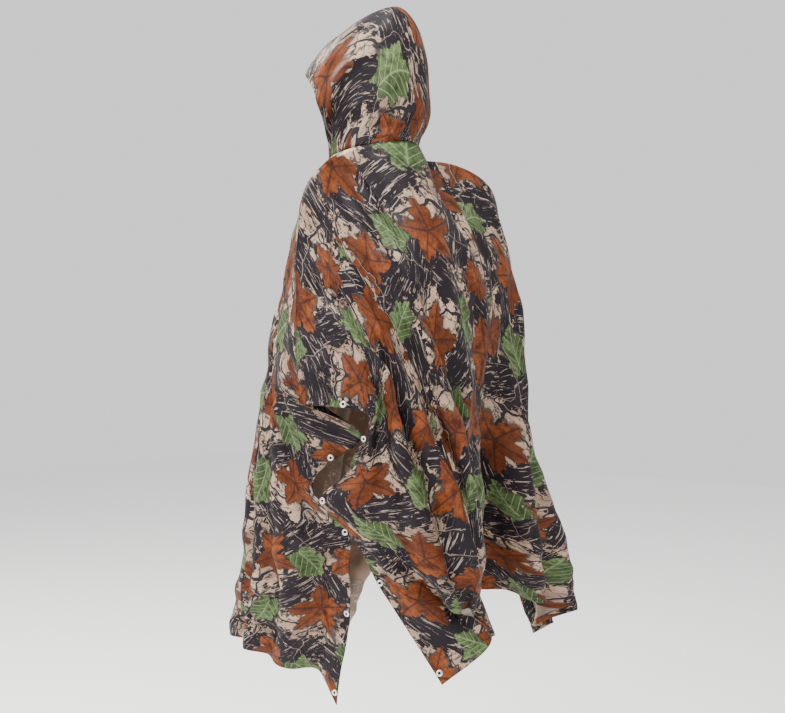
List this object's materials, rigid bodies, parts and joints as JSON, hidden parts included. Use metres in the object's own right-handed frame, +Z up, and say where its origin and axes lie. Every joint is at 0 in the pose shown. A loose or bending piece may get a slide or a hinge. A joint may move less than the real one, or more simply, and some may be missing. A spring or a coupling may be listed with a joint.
{
  "type": "rain poncho",
  "caption": "Hooded rectangular rain poncho in leaf and bark print, worn and filled out, with turned hems and metal eyelets down both side edges.",
  "frame": {"origin": "middle of the neck opening at the height of the shoulder seams, where the wearer's shoulders hold it up", "axes": "+Z up, -Y the way the wearer faces, +X the wearer's left"},
  "size_m": [0.8147, 0.7338, 1.3803],
  "materials": {
    "printed_cloth": "thin coated polyester with a soft sheen, leaf, twig and bark print outside, paler and duller inside",
    "hood_cloth": "same printed cloth",
    "turned_hem": "same printed cloth, turned to the inside and stitched",
    "eyelet_metal": "bright nickel-plated ring"
  },
  "bodies": {
    "root": {"BACK_PANEL": "printed_cloth", "FRONT_PANEL": "printed_cloth", "HOOD_LEFT": "hood_cloth", "HOOD_RIGHT": "hood_cloth", "BACK_BOTTOM_HEM": "turned_hem", "BACK_LEFT_HEM": "turned_hem", "BACK_RIGHT_HEM": "turned_hem", "FRONT_BOTTOM_HEM": "turned_hem", "FRONT_LEFT_HEM": "turned_hem", "FRONT_RIGHT_HEM": "turned_hem", "EYELET_LEFT_1": "eyelet_metal", "EYELET_LEFT_2": "eyelet_metal", "EYELET_LEFT_3": "eyelet_metal", "EYELET_LEFT_4": "eyelet_metal", "EYELET_LEFT_5": "eyelet_metal", "EYELET_LEFT_6": "eyelet_metal", "EYELET_LEFT_7": "eyelet_metal", "EYELET_LEFT_8": "eyelet_metal", "EYELET_LEFT_9": "eyelet_metal", "EYELET_LEFT_10": "eyelet_metal", "EYELET_RIGHT_1": "eyelet_metal", "EYELET_RIGHT_2": "eyelet_metal", "EYELET_RIGHT_3": "eyelet_metal", "EYELET_RIGHT_4": "eyelet_metal", "EYELET_RIGHT_5": "eyelet_metal", "EYELET_RIGHT_6": "eyelet_metal", "EYELET_RIGHT_7": "eyelet_metal", "EYELET_RIGHT_8": "eyelet_metal", "EYELET_RIGHT_9": "eyelet_metal", "EYELET_RIGHT_10": "eyelet_metal"}
  },
  "joints": []
}
